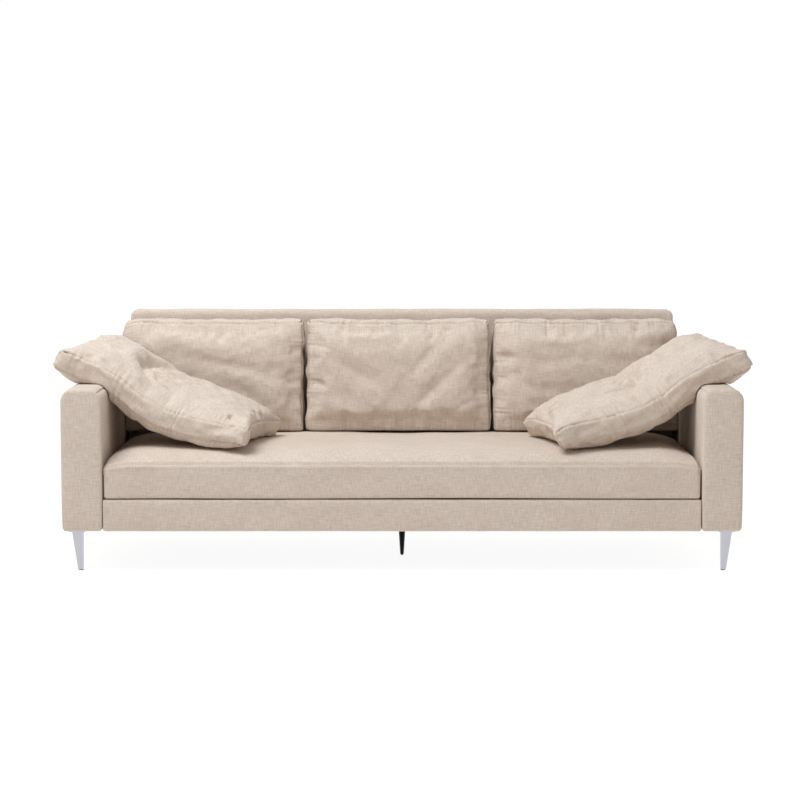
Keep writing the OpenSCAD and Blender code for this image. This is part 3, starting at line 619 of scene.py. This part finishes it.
def back_cushion(side, span, seed, folds, corner_tuck):
    """A loose, feather-filled back cushion. span is its left and right limits as it sits."""
    low, high = box("back_cushion_cover_" + side)
    half = np.array([(span[1] - span[0]) / 2, BACK_CUSHION_T / 2, (high[2] - low[2]) / 2])
    centre = np.array([(span[0] + span[1]) / 2, 0.0, (high[2] + low[2]) / 2])
    # The box before it is filled, which is flatter by the belly of each large panel
    belly = 0.034
    rest = half - np.array([0.004, belly, 0.004])
    points, faces, uvs = box_grid(rest, 0.0085)
    edge, along, gap = edge_facts(points, rest)
    shape = round_all(points, rest, 0.014)
    # Both large panels are full, and the filling settles, so the belly is below the middle
    reach = np.where(points[:, 2] < 0, 0.075, 0.14)
    full = dome(gap[:, 0], 0.16, 2.6) * dome(gap[:, 2], reach, 2.6)
    shape[:, 1] += np.where(gap[:, 1] < ON_FACE, np.sign(points[:, 1]) * belly * full, 0)
    obj, shape, faces, flat = soft_mesh("back_cushion_" + side, points, shape, faces, uvs,
                                        half - 0.002, edge, seed, 0.016, (-0.028, 0.008))
    edge, along, gap = edge_facts(flat, rest)
    x, y, z = flat.T
    front = smooth(-y, rest[1] * 0.2, rest[1] * 0.9)
    push = waves(flat, seed + 1, 0.13, 0.0016, stretch=(1, 1, 1.2)) * smooth(edge, 0, 0.05)
    push += waves(flat, seed + 2, 0.05, 0.0007)
    for path, width, height in folds:
        push += stroke(x, z, path, width * FOLD_SPREAD, height * FOLD_DEPTH) * front
    push += puckers(along, edge, seed + 3, pitch=0.019, depth=0.0080, reach=0.034)
    push -= 0.0040 * bell(edge, 0.0045)
    shape += vertex_normals(shape, faces) * push[:, None]
    # Pressed flat against its neighbours and on the seat, while the panel beside the seam stays full
    for axis, inset, weight in ((0, 0.040, 0.85), (2, 0.030, 0.60)):
        wobble = waves(flat, seed + 5 + axis, 0.07, 0.0024)
        press = weight * smooth(np.abs(flat[:, axis]), rest[axis] - inset, rest[axis])
        level = np.sign(flat[:, axis]) * (half[axis] - 0.003 + wobble)
        shape[:, axis] += (level - shape[:, axis]) * press * smooth(edge, 0.0, 0.012)
    bottom = smooth(-z, rest[2] - 0.030, rest[2])
    shape[:, 2] += (-half[2] - shape[:, 2]) * bottom * 0.92
    # Corners at the top are tucked in and rounded
    for sign, amount in zip((-1, 1), corner_tuck):
        away = np.hypot(half[0] - sign * shape[:, 0], half[2] - shape[:, 2])
        pull = amount * bell(away, 0.055)
        shape[:, 0] -= sign * pull
        shape[:, 2] -= 0.8 * pull
    shape = np.clip(shape, -half - 0.001, half + 0.001)
    # Below the arms' tops the outer cushions stay between the arms
    over_arm = smooth(shape[:, 2] + centre[2], ARM_TOP - 0.015, ARM_TOP + 0.055)
    limit = ARM_IN_X - 0.003 + 0.025 * over_arm
    shape[:, 0] = np.clip(shape[:, 0], -limit - centre[0], limit - centre[0])
    # Leant on the back, and pressed flat where it touches it
    shape[:, 1] += (shape[:, 2] + half[2]) * RAKE
    world = shape + centre
    bottom_rear = high[1] - (high[2] - low[2]) * RAKE
    overlap, clearance = 0.004, 0.001
    world[:, 1] += bottom_rear - half[1] + overlap
    back_face = bottom_rear - clearance + (world[:, 2] - low[2]) * RAKE
    world[:, 1] -= np.maximum(world[:, 1] - back_face, 0)
    world[:, 2] = np.maximum(world[:, 2], low[2])
    world = recess(world, box("back_cushion_zip_" + side), axis=2, sign=-1, plane=low[2])
    set_points(obj, world)
    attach(obj, "back_cushion_" + side)
    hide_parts("back_cushion_cover_" + side, "back_cushion_filling_" + side)


# Folds are a path across a panel, from its centre, then a width and a height. All are in metres.
LEFT_FOLDS = [
    ([(-0.26, 0.15), (-0.10, 0.10), (0.10, 0.07), (0.29, 0.03)], 0.028, 0.006),
    ([(-0.20, 0.10), (0.0, 0.045), (0.16, 0.02), (0.30, -0.03)], 0.020, -0.006),
    ([(-0.02, 0.02), (0.12, -0.02), (0.22, -0.06), (0.31, -0.12)], 0.026, 0.007),
    ([(0.05, -0.02), (0.18, -0.10), (0.26, -0.15)], 0.020, -0.005),
    ([(-0.30, 0.17), (-0.20, 0.08), (-0.16, -0.02)], 0.026, 0.005),
    ([(-0.30, 0.12), (-0.24, 0.04), (-0.22, -0.05)], 0.018, -0.005),
    ([(-0.10, 0.18), (0.08, 0.155), (0.24, 0.165)], 0.020, -0.004),
    ([(0.14, 0.13), (0.22, 0.06), (0.31, 0.05)], 0.016, 0.004),
    ([(0.20, -0.16), (0.28, -0.08), (0.32, 0.0)], 0.014, 0.004),
]
MIDDLE_FOLDS = [
    ([(-0.25, 0.19), (-0.19, 0.175), (-0.12, 0.166), (-0.04, 0.176), (0.01, 0.192)], 0.010, -0.009),
    ([(-0.26, 0.17), (-0.18, 0.150), (-0.10, 0.143), (-0.02, 0.155)], 0.015, 0.007),
    ([(-0.24, 0.07), (-0.15, 0.01), (-0.09, -0.03), (-0.04, -0.06)], 0.017, -0.008),
    ([(-0.26, 0.03), (-0.17, -0.03), (-0.10, -0.08), (-0.03, -0.11)], 0.024, 0.007),
    ([(-0.22, 0.12), (-0.10, 0.06), (-0.02, 0.0), (0.02, -0.05)], 0.024, 0.006),
    ([(-0.01, -0.13), (0.05, -0.07), (0.12, 0.02), (0.18, 0.09), (0.27, 0.15)], 0.022, 0.008),
    ([(0.02, -0.15), (0.10, -0.08), (0.18, 0.00), (0.28, 0.08)], 0.015, -0.007),
    ([(-0.02, -0.06), (0.05, 0.01), (0.12, 0.09), (0.22, 0.17)], 0.018, -0.006),
    ([(0.08, -0.15), (0.18, -0.07), (0.29, -0.01)], 0.018, 0.006),
    ([(-0.30, -0.08), (-0.20, -0.12), (-0.10, -0.16)], 0.016, 0.005),
    ([(0.16, -0.17), (0.24, -0.11), (0.31, -0.08)], 0.013, -0.005),
]
RIGHT_FOLDS = [
    ([(-0.26, 0.19), (-0.18, 0.155), (-0.10, 0.150), (-0.03, 0.175)], 0.016, -0.008),
    ([(-0.28, 0.14), (-0.16, 0.125), (-0.05, 0.130), (0.06, 0.15)], 0.020, 0.006),
    ([(-0.31, 0.08), (-0.18, 0.05), (-0.04, 0.06), (0.12, 0.05)], 0.020, -0.005),
    ([(-0.31, 0.04), (-0.16, 0.0), (0.0, 0.02), (0.14, 0.01)], 0.026, 0.006),
    ([(-0.30, -0.03), (-0.18, -0.05), (-0.04, -0.04)], 0.018, -0.004),
    ([(-0.31, -0.12), (-0.20, -0.08), (-0.10, -0.09)], 0.020, 0.005),
    ([(0.10, 0.17), (0.20, 0.14), (0.31, 0.15)], 0.016, 0.004),
    ([(0.16, 0.11), (0.24, 0.10), (0.32, 0.12)], 0.014, -0.005),
]


# ---- Arm pillows ----

PILLOW_LEN, PILLOW_W, PILLOW_T = 0.662, 0.438, 0.128
TILT, TURN = math.radians(26.5), math.radians(10)
# The left pillow's lower front corner, at its seat end
PILLOW_CORNER = (-0.5858, -0.3794, 0.392)


def arm_pillow(side, seed, folds, sag):
    """A soft pillow that lies over the arm and slumps down on to the seat."""
    size = np.array([PILLOW_LEN / 2 + 0.022, PILLOW_W / 2 + 0.012, 0.080])
    half = np.array([size[0] - 0.004, size[1] - 0.004, 0.047])
    points, faces, uvs = box_grid(half, 0.0085)
    edge, along, gap = edge_facts(points, half)
    shape = round_all(points, half, 0.016)
    full = dome(gap[:, 0], 0.17, 2.2) * dome(gap[:, 1], 0.17, 2.2)
    shape[:, 2] += np.where(gap[:, 2] < ON_FACE, np.sign(points[:, 2]) * 0.035 * full, 0)
    obj, shape, faces, flat = soft_mesh("arm_pillow_" + side, points, shape, faces, uvs,
                                        size, edge, seed, 0.018, (-0.035, 0.012))
    edge, along, gap = edge_facts(flat, half)
    x, y, z = flat.T
    upper = smooth(z, -0.01, 0.02)
    push = waves(flat, seed + 1, 0.11, 0.0024) * smooth(edge, 0, 0.05)
    push += waves(flat, seed + 2, 0.045, 0.0009)
    for path, width, height in folds:
        push += stroke(x, y, path, width, height * PILLOW_FOLD_DEPTH) * upper
    push += puckers(along, edge, seed + 3, pitch=0.023, depth=0.0075, reach=0.036)
    push -= 0.0030 * bell(edge, 0.0045)
    shape += vertex_normals(shape, faces) * push[:, None]
    # Filled corners stand out in peaks, more so at the seat end
    for sx in (-1, 1):
        for sy in (-1, 1):
            away = np.hypot(size[0] - sx * shape[:, 0], size[1] - sy * shape[:, 1])
            peak = (0.018 if sx < 0 else 0.006) * bell(away, 0.060)
            shape[:, 0] += sx * peak
            shape[:, 1] += sy * peak
    world = clear_of_sofa(drape(shape, sag, 1 if side == "left" else -1))
    if side == "right":
        obj.data.flip_normals()
    set_points(obj, world)
    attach(obj, "arm_pillow_" + side)
    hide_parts("arm_pillow_cover_" + side, "arm_pillow_filling_" + side, "arm_pillow_zip_" + side)


def drape(shape, sag, mirror):
    """Lays a pillow over the left arm, or over the right one where mirror is -1.
    Its own axes are s along the slope from the seat end, t from front to rear, and n out of its top."""
    s = shape[:, 0] + PILLOW_LEN / 2
    t = shape[:, 1] + PILLOW_W / 2
    n = shape[:, 2] + PILLOW_T / 2 + 0.006
    fraction = np.clip(s / PILLOW_LEN, 0, 1)
    front_drop = np.interp(fraction, *zip(*sag["front"]))
    rear_drop = np.interp(fraction, *zip(*sag["rear"]))
    across = np.clip(t / PILLOW_W, 0, 1)
    drop = front_drop * (1 - across) + rear_drop * across
    run = s * math.cos(TILT) - n * math.sin(TILT) + 0.034 * smooth(fraction, 0.55, 1.0)
    rise = s * math.sin(TILT) + n * math.cos(TILT) - drop
    out_x, out_y = -math.cos(TURN), math.sin(TURN)
    rear_x, rear_y = math.sin(TURN), math.cos(TURN)
    corner_x, corner_y, corner_z = PILLOW_CORNER
    return np.stack([
        (corner_x + run * out_x + t * rear_x) * mirror,
        corner_y + run * out_y + t * rear_y,
        corner_z + rise,
    ], 1)


def clear_of_sofa(world):
    """Cloth is pressed out of the arm, the seat and the back cushions."""
    gap = 0.003
    x, y, z = world.T
    side_sign = np.sign(x)
    x = np.abs(x)
    # The arm is a rounded rectangle across X and Z
    middle_x, middle_z = (ARM_IN_X + ARM_OUT_X) / 2, (ARM_TOP + ARM_LOW[2]) / 2
    half_x, half_z = (ARM_OUT_X - ARM_IN_X) / 2, (ARM_TOP - ARM_LOW[2]) / 2
    dx, dz = x - middle_x, z - middle_z
    qx, qz = np.abs(dx) - (half_x - ARM_TOP_R), np.abs(dz) - (half_z - ARM_TOP_R)
    beyond = np.hypot(np.maximum(qx, 0), np.maximum(qz, 0))
    outside = beyond + np.minimum(np.maximum(qx, qz), 0) - ARM_TOP_R
    need = np.maximum(gap - outside, 0)
    at_corner = (qx > 0) & (qz > 0)
    gx = np.where(at_corner, np.maximum(qx, 0), np.where(qx > qz, 1, 0)) * np.sign(dx)
    gz = np.where(at_corner, np.maximum(qz, 0), np.where(qx > qz, 0, 1)) * np.sign(dz)
    length = np.maximum(np.hypot(gx, gz), 1e-9)
    x = x + need * gx / length
    z = z + need * gz / length
    # Seat
    z = np.where(x < ARM_IN_X + 0.02, np.maximum(z, SEAT_TOP + gap), z)
    # The back cushions' front faces: where they are at the seat's level, and how high they reach
    front_y, level_z, top_z = 0.1303, 0.407, 0.83
    back_front = front_y + (z - level_z) * RAKE - gap
    y = np.minimum(y, np.where(z < top_z, back_front, y))
    return np.stack([x * side_sign, y, z], 1)


LEFT_PILLOW_FOLDS = [
    ([(-0.24, 0.02), (-0.05, 0.0), (0.10, -0.03)], 0.030, 0.006),
    ([(-0.20, -0.09), (0.0, -0.10), (0.12, -0.06)], 0.022, -0.005),
    ([(0.05, 0.14), (0.11, 0.04), (0.12, -0.05), (0.07, -0.14)], 0.016, -0.012),
    ([(0.12, 0.03), (0.04, 0.01), (-0.03, 0.02)], 0.010, -0.006),
    ([(0.12, -0.02), (0.05, -0.05), (-0.01, -0.05)], 0.009, -0.005),
    ([(0.14, 0.10), (0.17, 0.0), (0.16, -0.12)], 0.026, 0.008),
    ([(0.22, 0.12), (0.26, 0.04), (0.25, -0.06)], 0.014, -0.006),
    ([(0.30, 0.10), (0.24, 0.06)], 0.009, -0.005),
    ([(0.31, 0.02), (0.25, 0.0)], 0.008, -0.005),
    ([(0.31, -0.06), (0.24, -0.08)], 0.010, -0.005),
    ([(-0.30, 0.12), (-0.24, 0.10)], 0.008, -0.004),
    ([(-0.27, -0.20), (-0.25, -0.16)], 0.012, -0.008),
    *fan((0.10, -0.02), 0.015, 0.10, (118, 140, 163, 186, 208, 232), 0.0065, -0.0022),
    *fan((0.10, -0.02), 0.020, 0.12, (129, 152, 175, 197, 220), 0.0080, 0.0018),
    *fan((0.36, 0.02), 0.050, 0.13, (150, 163, 176, 190, 203, 217), 0.0070, -0.0025),
    *fan((-0.37, 0.03), 0.050, 0.12, (-42, -28, -14, 0, 15, 29, 43), 0.0060, -0.0026),
]
RIGHT_PILLOW_FOLDS = [
    ([(-0.22, 0.05), (-0.06, 0.04), (0.06, 0.0)], 0.030, 0.006),
    ([(0.0, 0.14), (0.05, 0.05), (0.04, -0.04), (-0.02, -0.13)], 0.018, -0.011),
    ([(0.06, 0.03), (-0.03, 0.03), (-0.10, 0.05)], 0.011, -0.005),
    ([(0.04, -0.05), (-0.05, -0.06), (-0.12, -0.06)], 0.010, -0.005),
    ([(0.09, 0.12), (0.12, 0.0), (0.09, -0.13)], 0.028, 0.008),
    ([(0.20, 0.15), (0.22, 0.02), (0.18, -0.12)], 0.022, -0.004),
    ([(-0.30, 0.12), (-0.22, 0.10)], 0.010, -0.006),
    ([(-0.30, 0.04), (-0.22, 0.03)], 0.010, -0.006),
    ([(-0.30, -0.04), (-0.24, -0.05)], 0.010, -0.005),
    *fan((0.03, 0.02), 0.015, 0.10, (112, 136, 160, 183, 207, 230), 0.0065, -0.0022),
    *fan((0.03, 0.02), 0.020, 0.12, (124, 148, 172, 195, 219), 0.0080, 0.0018),
    *fan((0.36, 0.06), 0.050, 0.13, (158, 172, 187, 202, 218), 0.0070, -0.0025),
    *fan((-0.37, 0.05), 0.050, 0.13, (-46, -33, -20, -7, 6, 19, 32, 45), 0.0060, -0.0028),
]
# How far a pillow's front and rear edges drop, by the share of its length from the seat end
LEFT_SAG = {
    "front": [(0, 0.0), (0.15, 0.036), (0.32, 0.066), (0.48, 0.085), (0.60, 0.080), (0.70, 0.056),
              (0.82, 0.044), (1, 0.050)],
    "rear": [(0, 0.012), (0.18, 0.014), (0.36, 0.030), (0.52, 0.046), (0.66, 0.034), (0.80, 0.016),
             (0.9, 0.014), (1, 0.030)],
}
RIGHT_SAG = {
    "front": [(0, 0.0), (0.15, 0.030), (0.32, 0.060), (0.48, 0.080), (0.60, 0.078), (0.70, 0.056),
              (0.82, 0.044), (1, 0.048)],
    "rear": [(0, 0.012), (0.18, 0.012), (0.36, 0.024), (0.52, 0.042), (0.66, 0.034), (0.80, 0.016),
             (0.9, 0.014), (1, 0.030)],
}


# ---- The sofa ----

arm("left", 31)
arm("right", 32)
back()
front_rail()
seat()
back_cushion("left", (-1.032, -0.3560), 101, LEFT_FOLDS, (0.012, 0.004))
back_cushion("middle", (-0.3530, 0.3285), 202, MIDDLE_FOLDS, (0.004, 0.004))
back_cushion("right", (0.3315, 1.018), 303, RIGHT_FOLDS, (0.004, 0.012))
arm_pillow("left", 404, LEFT_PILLOW_FOLDS, LEFT_SAG)
arm_pillow("right", 505, RIGHT_PILLOW_FOLDS, RIGHT_SAG)


# ---- Stage, light and camera ----

def white_plane(name, albedo, rough, glow, place, turn):
    """A large plane that glows, turned about X by an angle in degrees."""
    bpy.ops.mesh.primitive_plane_add(size=60, location=place, rotation=(math.radians(turn), 0, 0))
    plane = bpy.context.object
    plane.name = name
    s = Shader(name, (albedo, albedo, albedo), rough)
    s.set("Emission Color", (1, 1, 1, 1))
    s.set("Emission Strength", glow)
    plane.data.materials.append(s.mat)


def area_light(name, place, aim, size, power, color):
    light = bpy.data.lights.new(name, "AREA")
    light.shape = "RECTANGLE"
    light.size, light.size_y = size
    light.energy = power
    light.color = color
    obj = bpy.data.objects.new(name, light)
    obj.location = place
    way = np.array(aim, float) - np.array(place, float)
    obj.rotation_euler = Vector(way).to_track_quat("-Z", "Y").to_euler()
    bpy.context.scene.collection.objects.link(obj)


white_plane("floor", 0.12, 0.9, 0.92, (0, 0, 0), 0)
white_plane("backdrop", 0.0, 1.0, 1.0, (0, 26, 0), 90)
world = bpy.data.worlds.new("studio")
world.use_nodes = True
world.node_tree.nodes["Background"].inputs["Color"].default_value = (1.0, 1.0, 1.0, 1)
world.node_tree.nodes["Background"].inputs["Strength"].default_value = 0.42
bpy.context.scene.world = world
area_light("key", (-1.9, -1.4, 5.0), (0.1, 0, 0.5), (3.2, 2.4), 238, (0.94, 1.0, 1.06))
bpy.context.scene.view_settings.view_transform = "Standard"

camera_data = bpy.data.cameras.new("camera")
camera_data.sensor_width = 36
camera_data.lens = 98.3
camera = bpy.data.objects.new("camera", camera_data)
camera.location = (-0.007, -7.77, 1.30)
camera.rotation_euler = (math.radians(90 - 5.6), 0, 0)
bpy.context.scene.collection.objects.link(camera)
bpy.context.scene.camera = camera
